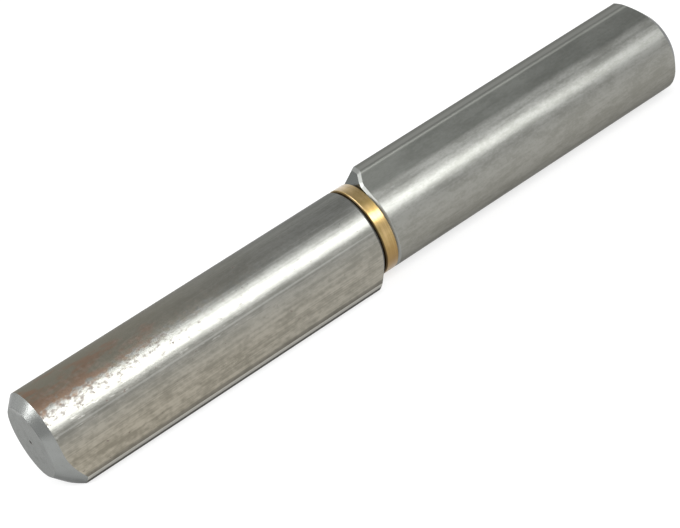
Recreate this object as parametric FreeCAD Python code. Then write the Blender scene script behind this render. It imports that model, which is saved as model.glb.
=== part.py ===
import FreeCAD, Part
import math
import os

# Weld-on barrel hinge of the lift-off kind, lying on a flat surface.
# Two lengths of drawn teardrop bar turn on one plain pin, with a brass washer
# between them. The pin is pressed into the lower barrel. The upper barrel turns
# on it and lifts off it. Both bores are drilled blind from the inner ends.
# The hinge axis runs along X, and X = 0 is the middle of the washer. Z = 0 is the
# surface that the hinge lies on. The lower barrel lies on the -X side, on one of
# its flat flanks. The upper barrel lies on the +X side with its weld edge up.

# Driving dimensions of the hinge, in millimetres
hinge_length = 180.0            # over both barrels and the washer

# Drawn bar that both barrels are cut from
barrel_diameter = 22.0          # round part of the bar
weld_edge_rise = 2.6            # from the round out to the flat of the weld edge
weld_edge_width = 3.8           # flat of the weld edge, over its sharp corners
bar_corner_radius = 1.2         # rounding of the two long corners beside the flat

# Ends turned at 45 degrees: both outer ones and the lower barrel's inner one
outer_chamfer = 2.4
lower_inner_chamfer = 0.9
chamfer_crown_radius = 60.0     # the turned chamfers are this slightly crowned

# Inner end of the upper barrel, where the nose beside the weld edge is ground back
nose_bevel_angle = 30.0         # between the end face and the bevel, in degrees
nose_bevel_land = 2.0           # width of end face left inside the round, under the bevel
nose_bevel_lean = 22.0          # turn of the bevel about the axis, off the nose, in degrees
upper_edge_break = 0.6          # chamfer all round the outline of that end

# Turning centre in each outer face
centre_mark_diameter = 1.2
centre_mark_angle = 60.0        # full angle, in degrees

# Pin
pin_diameter = 14.0
pin_pressed_length = 45.0       # held in the lower barrel
pin_running_length = 45.0       # carried in the upper barrel
pin_foot_chamfer = 0.8          # end that is pressed in
pin_nose_chamfer = 1.5          # end that the upper barrel drops over

# Bores
running_clearance = 0.05        # radial, from the pin to the upper bore
lower_bore_end_gap = 1.0        # from the foot of the pin to the end of its bore
upper_bore_end_gap = 3.0        # from the nose of the pin to the end of its bore
bore_mouth_chamfer = 0.6
drill_point_angle = 118.0       # full angle of the drilled bottoms, in degrees

# Washer
washer_thickness = 3.5
washer_bore_clearance = 0.15    # radial, from the pin to the washer
washer_rim_step = 0.0           # radial, from the barrels' round in to the rim
washer_edge_chamfer = 0.3

# How the hinge happens to lie
upper_edge_lean = 1.8           # of the upper weld edge back from straight up, in degrees

# Sizes that follow from the ones above
barrel_radius = barrel_diameter / 2
barrel_length = (hinge_length - washer_thickness) / 2
weld_edge_height = barrel_radius + weld_edge_rise
pin_radius = pin_diameter / 2
weld_corner_reach = math.hypot(weld_edge_height, weld_edge_width / 2)
turning_margin = 1.0            # blank stands this far outside the weld corners
blank_radius = weld_corner_reach + turning_margin

# Angle at the axis between the weld edge and the line where a flank meets the round
flank_angle = (math.acos(barrel_radius / weld_corner_reach)
               + math.atan2(weld_edge_width / 2, weld_edge_height))
lower_edge_turn = 180.0 - math.degrees(flank_angle)

axis_origin = FreeCAD.Vector(0, 0, 0)
hinge_axis = FreeCAD.Vector(1, 0, 0)
crosswise = FreeCAD.Vector(0, 1, 0)
upward = FreeCAD.Vector(0, 0, 1)
skin_tolerance = 0.001          # how near the bar's skin an edge counts as lying on it


def crowned_edge(start, end):
    """Shallow arc of the crown radius between two points, bulging away from the axis."""
    chord = end - start
    outward = FreeCAD.Vector(-chord.z, 0, chord.x).normalize()
    if outward.z < 0:
        outward = -outward
    half = chord.Length / 2
    rise = chamfer_crown_radius - math.sqrt(chamfer_crown_radius ** 2 - half ** 2)
    return Part.Arc(start, (start + end) / 2 + outward * rise, end).toShape()


def turned(outline, crowned_run=None):
    """Solid of revolution about X from (x, radius) points; one run may be crowned."""
    points = [FreeCAD.Vector(x, 0, radius) for x, radius in outline]
    edges = []
    for run, start in enumerate(points):
        end = points[(run + 1) % len(points)]
        edges.append(crowned_edge(start, end) if run == crowned_run else Part.makeLine(start, end))
    return Part.Face(Part.Wire(edges)).revolve(axis_origin, hinge_axis, 360)


def bar_section():
    """Teardrop section at X = 0 with the weld edge at +Z."""
    side = barrel_radius * math.sin(flank_angle)
    height = barrel_radius * math.cos(flank_angle)
    left = FreeCAD.Vector(0, -side, height)
    right = FreeCAD.Vector(0, side, height)
    bottom = FreeCAD.Vector(0, 0, -barrel_radius)
    left_corner = FreeCAD.Vector(0, -weld_edge_width / 2, weld_edge_height)
    right_corner = FreeCAD.Vector(0, weld_edge_width / 2, weld_edge_height)
    edges = [
        Part.Arc(left, bottom, right).toShape(),
        Part.makeLine(right, right_corner),
        Part.makeLine(right_corner, left_corner),
        Part.makeLine(left_corner, left),
    ]
    return Part.Face(Part.Wire(edges))


def drawn_bar():
    """Bar from X = 0, with the long corners of its weld edge rounded."""
    bar = bar_section().extrude(hinge_axis * barrel_length)
    sharp = weld_edge_height - bar_corner_radius / 100
    corners = [
        edge for edge in bar.Edges
        if edge.BoundBox.ZMin > sharp and edge.BoundBox.XLength > barrel_length / 2
    ]
    return bar.makeFillet(bar_corner_radius, corners)


def chamfered_blank(chamfer):
    """Round blank whose end at X = 0 has that chamfer, measured on the barrel's round."""
    face_radius = barrel_radius - chamfer
    outline = [
        (0, 0),
        (0, face_radius),
        (blank_radius - face_radius, blank_radius),
        (barrel_length, blank_radius),
        (barrel_length, 0),
    ]
    return turned(outline, crowned_run=1)


def faced_bar():
    """Bar with its outer end at +X turned, and its inner end at X = 0 cut square."""
    blank = chamfered_blank(outer_chamfer)
    blank.rotate(axis_origin, upward, 180)
    blank.translate(hinge_axis * barrel_length)
    return drawn_bar().common(blank)


def nose_bevel():
    """Block that grinding takes off the upper barrel's nose; its underside is the bevel."""
    side = 2 * blank_radius
    corner = FreeCAD.Vector(-side / 2, -side / 2, 0)
    block = Part.makeBox(side, side, side, corner)
    block.rotate(axis_origin, crosswise, nose_bevel_angle - 90)
    block.translate(upward * (barrel_radius - nose_bevel_land))
    block.rotate(axis_origin, hinge_axis, -nose_bevel_lean)
    return block


def break_inner_edges(body):
    """Chamfer the edges at the inner end that lie on the skin of the drawn bar."""
    skin = drawn_bar().Shells[0]
    outline = []
    for edge in body.Edges:
        middle = Part.Vertex(edge.valueAt((edge.FirstParameter + edge.LastParameter) / 2))
        at_inner_end = edge.BoundBox.XMax < blank_radius
        if at_inner_end and skin.distToShape(middle)[0] < skin_tolerance:
            outline.append(edge)
    return body.makeChamfer(upper_edge_break, outline)


def blind_bore(radius, depth):
    """Drilled bore from X = 0, with a chamfered mouth and a drill point."""
    point_length = radius / math.tan(math.radians(drill_point_angle / 2))
    return turned([
        (0, 0),
        (0, radius + bore_mouth_chamfer),
        (bore_mouth_chamfer, radius),
        (depth, radius),
        (depth + point_length, 0),
    ])


def centre_mark():
    """Small cone that a turning centre leaves in the outer face."""
    radius = centre_mark_diameter / 2
    depth = radius / math.tan(math.radians(centre_mark_angle / 2))
    return turned([(barrel_length, 0), (barrel_length, radius), (barrel_length - depth, 0)])


def make_lower_barrel():
    """Barrel that holds the pin, turned so that one flank lies flat underneath."""
    piece = faced_bar().common(chamfered_blank(lower_inner_chamfer))
    piece = piece.cut(blind_bore(pin_radius, pin_pressed_length + lower_bore_end_gap))
    piece = piece.cut(centre_mark()).Solids[0]
    piece.rotate(axis_origin, upward, 180)
    piece.rotate(axis_origin, hinge_axis, lower_edge_turn)
    piece.translate(FreeCAD.Vector(-washer_thickness / 2, 0, barrel_radius))
    return piece


def make_upper_barrel():
    """Barrel that turns on the pin and lifts off it, its nose ground back."""
    piece = break_inner_edges(faced_bar().cut(nose_bevel()).Solids[0])
    bore_radius = pin_radius + running_clearance
    piece = piece.cut(blind_bore(bore_radius, pin_running_length + upper_bore_end_gap))
    piece = piece.cut(centre_mark()).Solids[0]
    piece.rotate(axis_origin, hinge_axis, -upper_edge_lean)
    piece.translate(FreeCAD.Vector(washer_thickness / 2, 0, barrel_radius))
    return piece


def make_hinge_pin():
    """Plain pin from its bore in the lower barrel to its nose in the upper one."""
    foot = -washer_thickness / 2 - pin_pressed_length
    nose = washer_thickness / 2 + pin_running_length
    piece = turned([
        (foot, 0),
        (foot, pin_radius - pin_foot_chamfer),
        (foot + pin_foot_chamfer, pin_radius),
        (nose - pin_nose_chamfer, pin_radius),
        (nose, pin_radius - pin_nose_chamfer),
        (nose, 0),
    ])
    piece.translate(upward * barrel_radius)
    return piece


def make_brass_washer():
    """Flat ring on the pin, its four edges lightly chamfered."""
    rim = barrel_radius - washer_rim_step
    hole = pin_radius + washer_bore_clearance
    face = washer_thickness / 2
    side = face - washer_edge_chamfer
    piece = turned([
        (-face, hole + washer_edge_chamfer),
        (-face, rim - washer_edge_chamfer),
        (-side, rim),
        (side, rim),
        (face, rim - washer_edge_chamfer),
        (face, hole + washer_edge_chamfer),
        (side, hole),
        (-side, hole),
    ])
    piece.translate(upward * barrel_radius)
    return piece


os.makedirs("parts", exist_ok=True)
nodes = {
    "lower_barrel": make_lower_barrel(),
    "hinge_pin": make_hinge_pin(),
    "brass_washer": make_brass_washer(),
    "upper_barrel": make_upper_barrel(),
}
for name, piece in nodes.items():
    piece.exportStep(f"parts/{name}.step")
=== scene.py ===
import math
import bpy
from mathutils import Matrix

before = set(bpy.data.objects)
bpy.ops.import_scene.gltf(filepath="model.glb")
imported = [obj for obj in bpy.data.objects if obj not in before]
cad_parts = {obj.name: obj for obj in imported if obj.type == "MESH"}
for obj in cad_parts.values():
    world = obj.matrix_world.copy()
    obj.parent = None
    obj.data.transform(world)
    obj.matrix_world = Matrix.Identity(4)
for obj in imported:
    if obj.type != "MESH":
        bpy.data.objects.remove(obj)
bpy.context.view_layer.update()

from types import SimpleNamespace

import bpy
from mathutils import Matrix, Vector

# Sizes of the hinge that the finishes follow, in millimetres. Its axis runs along X,
# X = 0 is the middle of the washer, and the lower barrel lies on the -X side.
mm = 0.001
bar_radius = 11.0               # round of the drawn bar, and the axis above the floor
weld_flat_rise = 13.6           # from the axis to the flat of the weld edge
washer_face = 1.75              # from the middle of the washer to its faces
centre_mark_radius = 0.6        # turning centres in the outer faces

# Directions out from the axis, square to it
front = (0, -0.93, 0.37)
die_line = (0, -0.952, 0.306)
upper_front = (0, -0.60, 0.80)
top = (0, 0.06, 1)
front_underside = (0, -0.66, -0.75)

# Settings and ranges that several nodes share. A Mix node has its factor at 0, its
# numbers at 2 and 3, and its colours at 6 and 7.
soft_step = {"interpolation_type": "SMOOTHSTEP"}
distance_along = {"out": "Value", "operation": "DOT_PRODUCT"}
colour_mix = {"out": 2, "data_type": "RGBA"}
onto_the_end = {"From Min": 0.25, "From Max": 0.40}     # from the round onto an end face


def srgb(code):
    """sRGB hex colour as the linear RGBA that the shaders take."""
    channels = [int(code[i:i + 2], 16) / 255 for i in (1, 3, 5)]
    linear = [c / 12.92 if c <= 0.04045 else ((c + 0.055) / 1.055) ** 2.4 for c in channels]
    return (*linear, 1)


def add(tree, kind, sockets=None, out=0, **settings):
    """Adds a shader node with its settings and links, and gives one of its outputs.

    sockets gives an input its value, or the output that feeds it.
    """
    made = tree.nodes.new("ShaderNode" + kind)
    for name, value in settings.items():
        setattr(made, name, value)
    for name, value in (sockets or {}).items():
        if isinstance(value, bpy.types.NodeSocket):
            tree.links.new(value, made.inputs[name])
        else:
            made.inputs[name].default_value = value
    return made.outputs[out] if made.outputs else None


def new_material(name):
    """Empty node material and its tree."""
    material = bpy.data.materials.new(name)
    material.use_nodes = True
    material.node_tree.nodes.clear()
    return material, material.node_tree


def pattern(tree, place, size, detail=2.0, roughness=0.5):
    """Noise from 0 to 1 whose blobs are size = (x, y, z) millimetres."""
    scaled = add(tree, "Mapping", {"Vector": place, "Scale": [1 / length for length in size]})
    return add(tree, "TexNoise", {
        "Vector": scaled, "Scale": 1.0, "Detail": detail, "Roughness": roughness,
    })


def on_the_hinge(tree):
    """Place of a point, in millimetres from the hinge axis and the washer's middle."""
    return add(tree, "Mapping", {
        "Vector": add(tree, "TexCoord", out="Object"),
        "Location": (0, 0, -bar_radius),
        "Scale": (1 / mm, 1 / mm, 1 / mm),
    })


def from_the_axis(tree, place):
    """Distance of a point from the hinge axis, in millimetres."""
    _, y, z = add(tree, "SeparateXYZ", {0: place}).node.outputs
    spoke = add(tree, "CombineXYZ", {1: y, 2: z})
    return add(tree, "VectorMath", {0: spoke}, out="Value", operation="LENGTH")


def facing_the_end(tree):
    """How far the surface faces along the axis, from 0 on a round to 1 on an end face."""
    lengthwise = add(tree, "SeparateXYZ", {0: add(tree, "TexCoord", out="Normal")})
    return add(tree, "Math", {0: lengthwise}, operation="ABSOLUTE")


def bright_scratches(tree, place, near_end, age):
    """Short scratches in a line along the front, and one straight line from the die."""
    short = pattern(tree, place, (2.6, 0.5, 0.5), detail=3.0)
    short = add(tree, "MapRange", {
        "Value": short, "From Min": 0.60, "From Max": 0.72, "To Max": 0.55 * age,
    }, **soft_step)
    scuffed = add(tree, "VectorMath", {0: place, 1: front}, **distance_along)
    scuffed = add(tree, "MapRange", {
        "Value": scuffed, "From Min": bar_radius - 0.25, "From Max": bar_radius - 0.02,
    }, **soft_step)
    scuffed = add(tree, "Math", {0: scuffed, 1: near_end}, operation="MULTIPLY")
    short = add(tree, "Math", {0: short, 1: scuffed}, operation="MULTIPLY")
    straight = add(tree, "VectorMath", {0: place, 1: die_line}, **distance_along)
    straight = add(tree, "MapRange", {
        "Value": straight, "To Max": 0.32 * age,
        "From Min": bar_radius - 0.014, "From Max": bar_radius - 0.001,
    }, **soft_step)
    return add(tree, "Math", {0: short, 1: straight}, operation="MAXIMUM")


def storage_film(tree, place, near_end, specks, age):
    """Brown film on top towards the outer end, with a ragged lower edge.

    Gives how much of it there is, and its colour.
    """
    ragged = add(tree, "VectorMath", {0: place, 1: top}, **distance_along)
    for mark, weight in ((specks, 3.5), (near_end, 1.2)):
        ragged = add(tree, "Math", {0: mark, 1: weight, 2: ragged}, operation="MULTIPLY_ADD")
    film = add(tree, "MapRange", {
        "Value": ragged, "From Min": 10.2, "From Max": 11.6, "To Max": 0.9 * age,
    }, **soft_step)
    film = add(tree, "Math", {0: film, 1: near_end}, operation="MULTIPLY")

    # It is browner towards the front and the outer end
    x, y, _ = add(tree, "SeparateXYZ", {0: place}).node.outputs
    bloom = pattern(tree, place, (8, 3, 3), detail=4.0, roughness=0.6)
    for mark, weight in ((y, -0.03), (x, -0.008)):
        bloom = add(tree, "Math", {0: mark, 1: weight, 2: bloom}, operation="MULTIPLY_ADD")
    bloom = add(tree, "MapRange", {"Value": bloom, "From Min": 1.13, "From Max": 1.32}, **soft_step)
    brown = add(tree, "Mix", {0: bloom, 6: srgb("#716D60"), 7: srgb("#786250")}, **colour_mix)
    return film, brown


def warm_underside(tree, place, near_end, marks, warmth, age):
    """Warm tone on the underside, in small blotches, and thinner near the washer: partly a thin
    film, partly a painted reflection of a warm surface below.

    Gives how much of it there is, and its colour. A clean bar's tone is more even.
    """
    under = add(tree, "VectorMath", {0: place, 1: front_underside}, **distance_along)
    under = add(tree, "MapRange", {
        "Value": under, "From Min": 0.5, "From Max": bar_radius, "To Max": warmth,
    }, **soft_step)
    less_inside = add(tree, "Math", {0: near_end, 1: 0.35, 2: 0.65}, operation="MULTIPLY_ADD")
    under = add(tree, "Math", {0: under, 1: less_inside}, operation="MULTIPLY")
    blotches = 0.0
    for mark, weight in (
        (marks.specks, 0.20), (marks.mottle, 0.35), (marks.patches, 0.20), (marks.lines, 0.25),
    ):
        blotches = add(tree, "Math", {0: mark, 1: weight, 2: blotches}, operation="MULTIPLY_ADD")
    blotches = add(tree, "MapRange", {
        "Value": blotches, "From Min": 0.40, "From Max": 0.60,
        "To Min": 0.3 * (1 - age), "To Max": 0.7 + 0.3 * age,
    }, **soft_step)
    # Warm tones of the underside, partly film and partly painted reflection from below
    warm = add(tree, "Mix", {0: blotches, 6: srgb("#807A6C"), 7: srgb("#A39C8D")}, **colour_mix)
    return under, warm


def rust_marks(tree, place, near_end, patches, age):
    """Rust specks of 0.5 to 1 mm, most of them above the front, and a few pits."""
    facing = add(tree, "VectorMath", {0: place, 1: upper_front}, **distance_along)
    facing = add(tree, "MapRange", {
        "Value": facing, "From Min": 9.5, "From Max": 10.8,
    }, **soft_step)
    facing = add(tree, "Math", {0: facing, 1: near_end}, operation="MULTIPLY")
    rust = pattern(tree, place, (1.0, 0.75, 0.75), detail=1.5)
    for mark, weight in ((facing, 0.24), (patches, 0.16)):
        rust = add(tree, "Math", {0: mark, 1: weight, 2: rust}, operation="MULTIPLY_ADD")
    rust = add(tree, "MapRange", {
        "Value": rust, "From Min": 0.73, "From Max": 1.08, "To Max": 0.58 * age,
    }, **soft_step)
    pits = pattern(tree, place, (1.6, 1.0, 1.0))
    pits = add(tree, "Math", {0: near_end, 1: 0.04, 2: pits}, operation="MULTIPLY_ADD")
    pits = add(tree, "MapRange", {
        "Value": pits, "From Min": 0.715, "From Max": 0.785, "To Max": 0.7 * age,
    }, **soft_step)
    return add(tree, "Math", {0: rust, 1: pits}, operation="MAXIMUM")


def weld_edge(tree, place, nose, along_flat, corner_tone, flat_tones):
    """The weld edge's rounded long corners and the flat between them, with painted light and shade
    on them: a tone painted on the corners, and a lighter near side and a darker far side painted on
    the flat.
    """
    rise = add(tree, "VectorMath", {0: place, 1: nose}, **distance_along)
    corner = add(tree, "MapRange", {
        "Value": rise, "To Max": 0.6,
        "From Min": weld_flat_rise - 0.78, "From Max": weld_flat_rise - 0.38,
    }, **soft_step)
    flat = add(tree, "MapRange", {
        "Value": rise, "To Max": 0.85,
        "From Min": weld_flat_rise - 0.10, "From Max": weld_flat_rise - 0.02,
    }, **soft_step)
    across = add(tree, "VectorMath", {0: place, 1: along_flat}, **distance_along)
    across = add(tree, "MapRange", {
        "Value": across, "From Min": -0.5, "From Max": 0.3,
    }, **soft_step)
    # Painted light and shade: the flat's near side takes the lighter tone and its far side the
    # darker one
    near_tone, far_tone = flat_tones
    flat_colour = add(tree, "Mix", {0: across, 6: srgb(far_tone), 7: srgb(near_tone)}, **colour_mix)
    return (corner, srgb(corner_tone)), (flat, flat_colour)


def turned_end(tree, place, x, radius, steep):
    """Colour and roughness of a turned end, and its rings.

    The chamfers and the ground inner ends are painted darker, as painted shade, and the broken edge
    at the inner ends keeps a lighter tone.
    """
    # Lathe feed lines are about 0.1 mm apart, drawn at 0.4 mm to show
    rings = pattern(tree, add(tree, "CombineXYZ", {0: radius}), (0.4, 1, 1))
    shift = pattern(tree, place, (5, 2.5, 2.5), detail=3.0)
    shift = add(tree, "MapRange", {
        "Value": shift, "From Min": 0.5, "From Max": 0.7, "To Max": 0.35,
    })
    chamfer = add(tree, "MapRange", {
        "Value": steep, "From Min": 0.84, "From Max": 0.78,
    }, **soft_step)
    inner = add(tree, "Math", {0: x}, operation="ABSOLUTE")
    inner = add(tree, "MapRange", {
        "Value": inner, "From Min": 12.0, "From Max": 10.0,
    }, **soft_step)
    broken = add(tree, "Math", {0: inner, 1: chamfer}, operation="MULTIPLY")
    colour = add(tree, "Mix", {0: rings, 6: srgb("#9EA09D"), 7: srgb("#A7A9A6")}, **colour_mix)
    # Painted shade: the chamfers and the inner ends take darker tones; shift is the end's own
    # uneven tone
    for amount, tone in (
        (chamfer, srgb("#8B8D8B")),
        (shift, srgb("#80827E")),
        (inner, srgb("#787B79")),
        (broken, srgb("#9A9C99")),
    ):
        colour = add(tree, "Mix", {0: amount, 6: colour, 7: tone}, **colour_mix)
    gloss = 0.22
    for mark, weight in ((rings, 0.05), (broken, 0.22)):
        gloss = add(tree, "Math", {0: mark, 1: weight, 2: gloss}, operation="MULTIPLY_ADD")
    return colour, gloss, rings


def painted_joint_shade(tree, x, radius, ends):
    """Painted shade: a dark tone on the lower barrel's edge beside the washer, where the joint's
    groove is shaded, and in the turning centres.
    """
    groove = add(tree, "MapRange", {
        "Value": x, "To Max": 0.88,
        "From Min": -washer_face - 0.55, "From Max": -washer_face - 0.23,
    }, **soft_step)
    lower_side = add(tree, "MapRange", {
        "Value": x, "From Min": -washer_face + 0.55, "From Max": -washer_face + 0.05,
    }, **soft_step)
    groove = add(tree, "Math", {0: groove, 1: lower_side}, operation="MULTIPLY")
    centre = add(tree, "MapRange", {
        "Value": radius, "To Max": 0.7,
        "From Min": centre_mark_radius + 0.15, "From Max": centre_mark_radius - 0.05,
    }, **soft_step)
    centre = add(tree, "Math", {0: centre, 1: ends}, operation="MULTIPLY")
    return add(tree, "Math", {0: groove, 1: centre}, operation="MAXIMUM")


# Cold drawn mild steel, as it leaves the die. The eye sees a satin grey with fine
# straight lines along the bar, a grain in the highlight and turned, ringed ends. A bar
# that was stored has scratches, a brown film, rust specks and a warm underside as well.
def drawn_steel(
    name, nose, along_flat, age, warmth, streaks, base_gloss, corner_tone, flat_tones, flank_shade,
):
    """Finish of one barrel.

    nose is the direction from the axis to the weld edge, and along_flat the one along
    the weld edge's flat to its near corner. age is how far storage has marked the bar,
    from 0 for clean to 1 for filmed and pitted, and warmth is the same for the warm tone
    on the underside alone, which is partly a film and partly a painted reflection from below.
    streaks is the share of the drawing lines in the tone, and base_gloss the roughness
    before the marks add theirs. corner_tone and flat_tones are painted light and shade on
    the weld edge, flat_tones on its near and far side. flank_shade is how much painted
    shade darkens the flats beside it.
    """
    material, tree = new_material(name)
    place = on_the_hinge(tree)
    x = add(tree, "SeparateXYZ", {0: place})
    radius = from_the_axis(tree, place)
    steep = facing_the_end(tree)
    ends = add(tree, "MapRange", {"Value": steep, **onto_the_end}, **soft_step)
    # From 0 on the upper barrel to 1 at the lower barrel's outer end
    near_end = add(tree, "MapRange", {
        "Value": x, "From Min": -5.0, "From Max": -80.0,
    }, **soft_step)

    marks = SimpleNamespace(
        # Drawing lines are about 0.1 mm wide on the bar, drawn at 0.35 mm to show
        lines=pattern(tree, place, (50, 0.35, 0.35), roughness=0.6),
        # The matt grain of the skin is 0.1 mm, drawn at 0.5 mm to show
        grain=pattern(tree, place, (0.8, 0.5, 0.5), detail=3.0, roughness=0.6),
        # The skin's own unevenness, drawn out along the bar, in three sizes
        patches=pattern(tree, place, (13, 4, 4), detail=3.0),
        mottle=pattern(tree, place, (4, 1.4, 1.4), detail=3.0, roughness=0.55),
        specks=pattern(tree, place, (1.3, 0.9, 0.9), detail=1.0),
    )

    # Clean skin: lines, patches and grain of two greys
    tint = add(tree, "Math", {0: marks.lines, 1: streaks}, operation="MULTIPLY")
    rest = 1 - streaks
    for mark, weight in (
        (marks.patches, 0.30 * rest), (marks.mottle, 0.35 * rest), (marks.grain, 0.35 * rest),
    ):
        tint = add(tree, "Math", {0: mark, 1: weight, 2: tint}, operation="MULTIPLY_ADD")
    tint = add(tree, "MapRange", {"Value": tint, "From Min": 0.40, "From Max": 0.60}, **soft_step)
    skin = add(tree, "Mix", {0: tint, 6: srgb("#7F807B"), 7: srgb("#90918D")}, **colour_mix)

    # What lies over it, from the lowest layer up, ending with painted shade on the flats and
    # painted light and shade on the weld edge
    under, warm = warm_underside(tree, place, near_end, marks, warmth, age)
    film, brown = storage_film(tree, place, near_end, marks.specks, age)
    rust = rust_marks(tree, place, near_end, marks.patches, age)
    # Painted shade: the flats beside the weld edge are painted darker, by flank_shade
    flank = add(tree, "MapRange", {
        "Value": radius, "To Max": flank_shade,
        "From Min": bar_radius + 0.03, "From Max": bar_radius + 0.35,
    }, **soft_step)
    for amount, tone in (
        (under, warm),
        (bright_scratches(tree, place, near_end, age), srgb("#D2D2CC")),
        (film, brown),
        (rust, srgb("#6A5E57")),
        (flank, srgb("#5C5E5A")),
        # Painted light and shade on the weld edge's corners and flat
        *weld_edge(tree, place, nose, along_flat, corner_tone, flat_tones),
    ):
        skin = add(tree, "Mix", {0: amount, 6: skin, 7: tone}, **colour_mix)

    face, face_gloss, rings = turned_end(tree, place, x, radius, steep)
    # Painted shade: the lower barrel's edge in the joint's groove and the turning centres are
    # painted dark
    recess_shade = painted_joint_shade(tree, x, radius, ends)
    colour = add(tree, "Mix", {0: ends, 6: skin, 7: face}, **colour_mix)
    colour = add(tree, "Mix", {0: recess_shade, 6: colour, 7: srgb("#332E29")}, **colour_mix)

    gloss = base_gloss
    for mark, weight in (
        (marks.patches, 0.16), (marks.grain, 0.10), (marks.lines, 0.06), (rust, 0.30), (film, 0.12),
    ):
        gloss = add(tree, "Math", {0: mark, 1: weight, 2: gloss}, operation="MULTIPLY_ADD")
    roughness = add(tree, "Mix", {0: ends, 2: gloss, 3: face_gloss})
    roughness = add(tree, "Math", {0: recess_shade, 1: 0.3, 2: roughness}, operation="MULTIPLY_ADD")

    # Rust and film are no metal, and neither is the painted shade at the joint and in the turning
    # centres
    metal = 1.0
    for mark, weight in ((rust, -0.5), (film, -0.3), (recess_shade, -0.6)):
        metal = add(tree, "Math", {0: mark, 1: weight, 2: metal}, operation="MULTIPLY_ADD")

    # The relief of the skin stops where the ends are turned
    height = add(tree, "Math", {0: near_end, 1: marks.specks}, operation="MULTIPLY")
    height = add(tree, "Math", {0: height, 1: age}, operation="MULTIPLY")
    for mark, weight in ((marks.lines, 0.4), (marks.grain, 0.5), (rust, -1.0)):
        height = add(tree, "Math", {0: mark, 1: weight, 2: height}, operation="MULTIPLY_ADD")
    skin_depth = add(tree, "Math", {0: ends, 1: -0.6, 2: 0.6}, operation="MULTIPLY_ADD")
    relief = add(tree, "Bump", {"Height": height, "Strength": skin_depth, "Distance": 0.01 * mm})
    ring_depth = add(tree, "Math", {0: ends, 1: 0.6}, operation="MULTIPLY")
    relief = add(tree, "Bump", {
        "Height": rings, "Strength": ring_depth, "Distance": 0.0006 * mm, "Normal": relief,
    })
    shader = add(tree, "BsdfPrincipled", {
        "Base Color": colour, "Roughness": roughness, "Metallic": metal, "Normal": relief,
        "Specular Tint": srgb("#B4B4B4"),
    })
    add(tree, "OutputMaterial", {"Surface": shader})
    return material


# Turned brass. The eye sees a yellow satin metal with fine rings round its rim, and
# a film of oil, the coat, that whitens its highlight.
def turned_brass():
    """Finish of the washer."""
    material, tree = new_material("turned_brass")
    place = on_the_hinge(tree)
    radius = from_the_axis(tree, place)
    faces = add(tree, "MapRange", {"Value": facing_the_end(tree), **onto_the_end}, **soft_step)

    # Feed lines are about 0.1 mm apart, drawn at 0.35 mm to show
    rim_rings = pattern(tree, place, (0.35, 30, 30), detail=3.0)
    face_rings = pattern(tree, add(tree, "CombineXYZ", {0: radius}), (0.35, 1, 1), detail=3.0)
    rings = add(tree, "Mix", {0: faces, 2: rim_rings, 3: face_rings})
    lined = add(tree, "MapRange", {
        "Value": rings, "From Min": 0.35, "From Max": 0.65, "To Max": 0.35,
    }, **soft_step)
    tarnish = pattern(tree, place, (2.5, 2.5, 2.5), detail=4.0, roughness=0.6)
    dulled = add(tree, "MapRange", {
        "Value": tarnish, "From Min": 0.38, "From Max": 0.62,
    }, **soft_step)

    # Painted shade: the edge beside the lower barrel is painted dark brown, where the joint's
    # groove is shaded
    x = add(tree, "SeparateXYZ", {0: place})
    edge = add(tree, "MapRange", {
        "Value": x, "To Max": 0.85,
        "From Min": -washer_face + 0.33, "From Max": -washer_face + 0.13,
    }, **soft_step)
    # Painted shade: the brass is painted darker on its underside, which also has no coat
    below = add(tree, "VectorMath", {0: place, 1: front_underside}, **distance_along)
    below = add(tree, "MapRange", {
        "Value": below, "From Min": 5.0, "From Max": 10.5, "To Max": 0.8,
    }, **soft_step)

    colour = srgb("#C0A46E")
    for amount, tone in (
        (dulled, srgb("#AB9259")),
        (lined, srgb("#8F7440")),
        (below, srgb("#87693A")),
        (edge, srgb("#44361F")),
    ):
        colour = add(tree, "Mix", {0: amount, 6: colour, 7: tone}, **colour_mix)
    roughness = 0.22
    for mark, weight in ((rings, 0.10), (tarnish, 0.08), (edge, 0.4)):
        roughness = add(tree, "Math", {0: mark, 1: weight, 2: roughness}, operation="MULTIPLY_ADD")
    dry = add(tree, "Math", {0: edge, 1: below}, operation="MAXIMUM")
    oil = add(tree, "Math", {0: dry, 1: -0.9, 2: 0.9}, operation="MULTIPLY_ADD")
    relief = add(tree, "Bump", {"Height": rings, "Strength": 0.5, "Distance": 0.008 * mm})
    shader = add(tree, "BsdfPrincipled", {
        "Base Color": colour, "Roughness": roughness, "Metallic": 1.0, "Normal": relief,
        "Coat Weight": oil, "Coat Roughness": 0.15,
    })
    add(tree, "OutputMaterial", {"Surface": shader})
    return material


# Ground steel. The eye sees a brighter, smoother steel with fine rings round it.
def ground_steel():
    """Finish of the pin."""
    material, tree = new_material("ground_steel")
    place = on_the_hinge(tree)
    # Grinding lines are under 0.1 mm wide, drawn at 0.25 mm to show
    rings = pattern(tree, place, (0.25, 25, 25), detail=3.0)
    wear = pattern(tree, place, (9, 3, 3), detail=3.0)
    worn = add(tree, "MapRange", {"Value": wear, "From Min": 0.35, "From Max": 0.65}, **soft_step)
    colour = add(tree, "Mix", {0: worn, 6: srgb("#9D9D98"), 7: srgb("#A6A7A3")}, **colour_mix)
    roughness = 0.16
    for mark, weight in ((rings, 0.10), (wear, 0.04)):
        roughness = add(tree, "Math", {0: mark, 1: weight, 2: roughness}, operation="MULTIPLY_ADD")
    relief = add(tree, "Bump", {"Height": rings, "Strength": 0.4, "Distance": 0.005 * mm})
    shader = add(tree, "BsdfPrincipled", {
        "Base Color": colour, "Roughness": roughness, "Metallic": 1.0, "Normal": relief,
    })
    add(tree, "OutputMaterial", {"Surface": shader})
    return material


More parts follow.
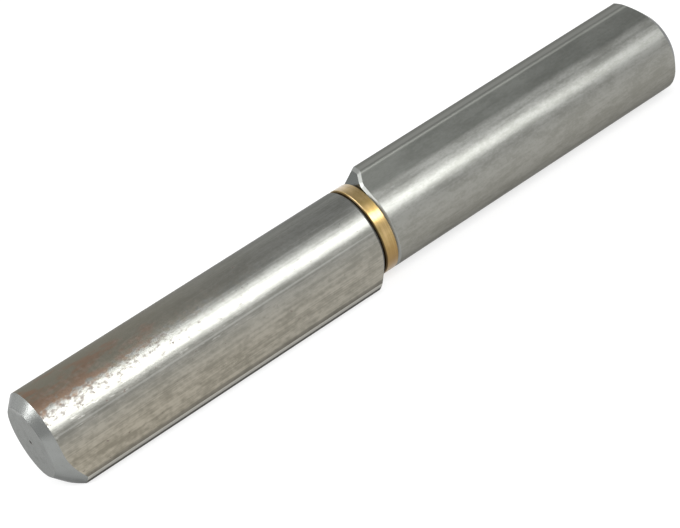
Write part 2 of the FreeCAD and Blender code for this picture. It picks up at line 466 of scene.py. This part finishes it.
finishes = {
    "lower_barrel": drawn_steel(
        "drawn_steel_lower", nose=(0, -0.7037, -0.7105), along_flat=(0, -0.7105, 0.7037),
        age=1.0, warmth=0.90, streaks=0.30, base_gloss=0.16,
        corner_tone="#4E4C47", flat_tones=("#D0CEC6", "#55534D"), flank_shade=0.0,
    ),
    "upper_barrel": drawn_steel(
        "drawn_steel_upper", nose=(0, 0.0314, 0.9995), along_flat=(0, -0.9995, 0.0314),
        age=0.0, warmth=0.42, streaks=0.12, base_gloss=0.20,
        corner_tone="#9EA09A", flat_tones=("#999A95", "#888984"), flank_shade=0.75,
    ),
    "brass_washer": turned_brass(),
    "hinge_pin": ground_steel(),
}
for node_name, finish in finishes.items():
    for material_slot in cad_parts[node_name].material_slots:
        material_slot.link = "OBJECT"
        material_slot.material = finish


def seen(tree, to_camera, in_metal):
    """How much of a surface shows plain white, to the camera and in reflections."""
    rays = add(tree, "LightPath").node.outputs
    share = 0.0
    for ray, weight in (
        ("Is Camera Ray", to_camera),
        ("Is Transmission Ray", to_camera),
        ("Is Glossy Ray", in_metal),
    ):
        share = add(tree, "Math", {0: rays[ray], 1: weight, 2: share}, operation="MULTIPLY_ADD")
    return share


def white_floor():
    """Plain pale floor that goes to white in the picture and keeps a soft shadow."""
    material, tree = new_material("white_floor")
    lit = add(tree, "BsdfDiffuse", {"Color": srgb("#E6E6E6")})
    glow = add(tree, "Emission", {"Color": srgb("#FFFFFF"), "Strength": 1.2})
    white = seen(tree, to_camera=0.6, in_metal=0.55)
    both = add(tree, "MixShader", {0: white, 1: lit, 2: glow})
    add(tree, "OutputMaterial", {"Surface": both})
    bpy.ops.mesh.primitive_plane_add(size=6)
    floor = bpy.context.object
    floor.name = "floor"
    floor.data.materials.append(material)


def studio_world():
    """Soft light from all round, strongest from low down behind, and white to the camera.

    Reflections see that white only in part, because steel in a white room looks paler
    than the one in the photograph.
    """
    world = bpy.data.worlds.new("studio")
    bpy.context.scene.world = world
    world.use_nodes = True
    tree = world.node_tree
    tree.nodes.clear()
    direction = add(tree, "TexCoord", out="Generated")
    _, y, z = add(tree, "SeparateXYZ", {0: direction}).node.outputs
    paler_low_down = add(tree, "MapRange", {
        "Value": z, "From Min": 0.10, "From Max": 0.75, "To Min": 0.66, "To Max": 0.43,
    }, **soft_step)
    from_behind = add(tree, "MapRange", {
        "Value": y, "From Min": 0.45, "From Max": 0.85, "To Max": 0.38,
    }, **soft_step)
    strength = add(tree, "Math", {0: paler_low_down, 1: from_behind}, operation="ADD")
    light = add(tree, "Background", {"Color": srgb("#FFFFFF"), "Strength": strength})
    backdrop = add(tree, "Background", {"Color": srgb("#FFFFFF"), "Strength": 1.0})
    white = seen(tree, to_camera=1.0, in_metal=0.15)
    both = add(tree, "MixShader", {0: white, 1: light, 2: backdrop})
    add(tree, "OutputWorld", {"Surface": both})


def softbox(name, centre, aim_x, width, length, power):
    """Rectangular lamp that faces the axis at aim_x, its length along it; metres and watts."""
    lamp = bpy.data.lights.new(name, "AREA")
    lamp.shape = "RECTANGLE"
    lamp.size, lamp.size_y = length, width
    lamp.energy = power
    made = bpy.data.objects.new(name, lamp)
    bpy.context.collection.objects.link(made)
    back = (Vector(centre) - Vector((aim_x, 0, bar_radius * mm))).normalized()
    side = (Vector((1, 0, 0)) - back * back.x).normalized()
    made.matrix_world = Matrix((side, back.cross(side), back)).transposed().to_4x4()
    made.location = centre


white_floor()
studio_world()
softbox("key", (0.24, -0.703, 0.582), aim_x=0.24, width=0.306, length=0.58, power=4.6)
softbox("over_key", (0.03, -0.486, 0.774), aim_x=0.03, width=0.24, length=0.40, power=2.7)
softbox("back", (-0.598, 0.196, 0.512), aim_x=0, width=0.43, length=0.36, power=4.45)

# Camera fitted to the outline and edges in the photograph
camera = bpy.data.cameras.new("camera")
camera.sensor_width = 36
camera.lens = 113.493
view = bpy.data.objects.new("camera", camera)
bpy.context.collection.objects.link(view)
view.location = (-0.191864, -0.393077, 0.218792)
view.rotation_euler = [math.radians(turn) for turn in (62.307, 19.0869, -34.7798)]
bpy.context.scene.camera = view
bpy.context.scene.view_settings.view_transform = "Standard"
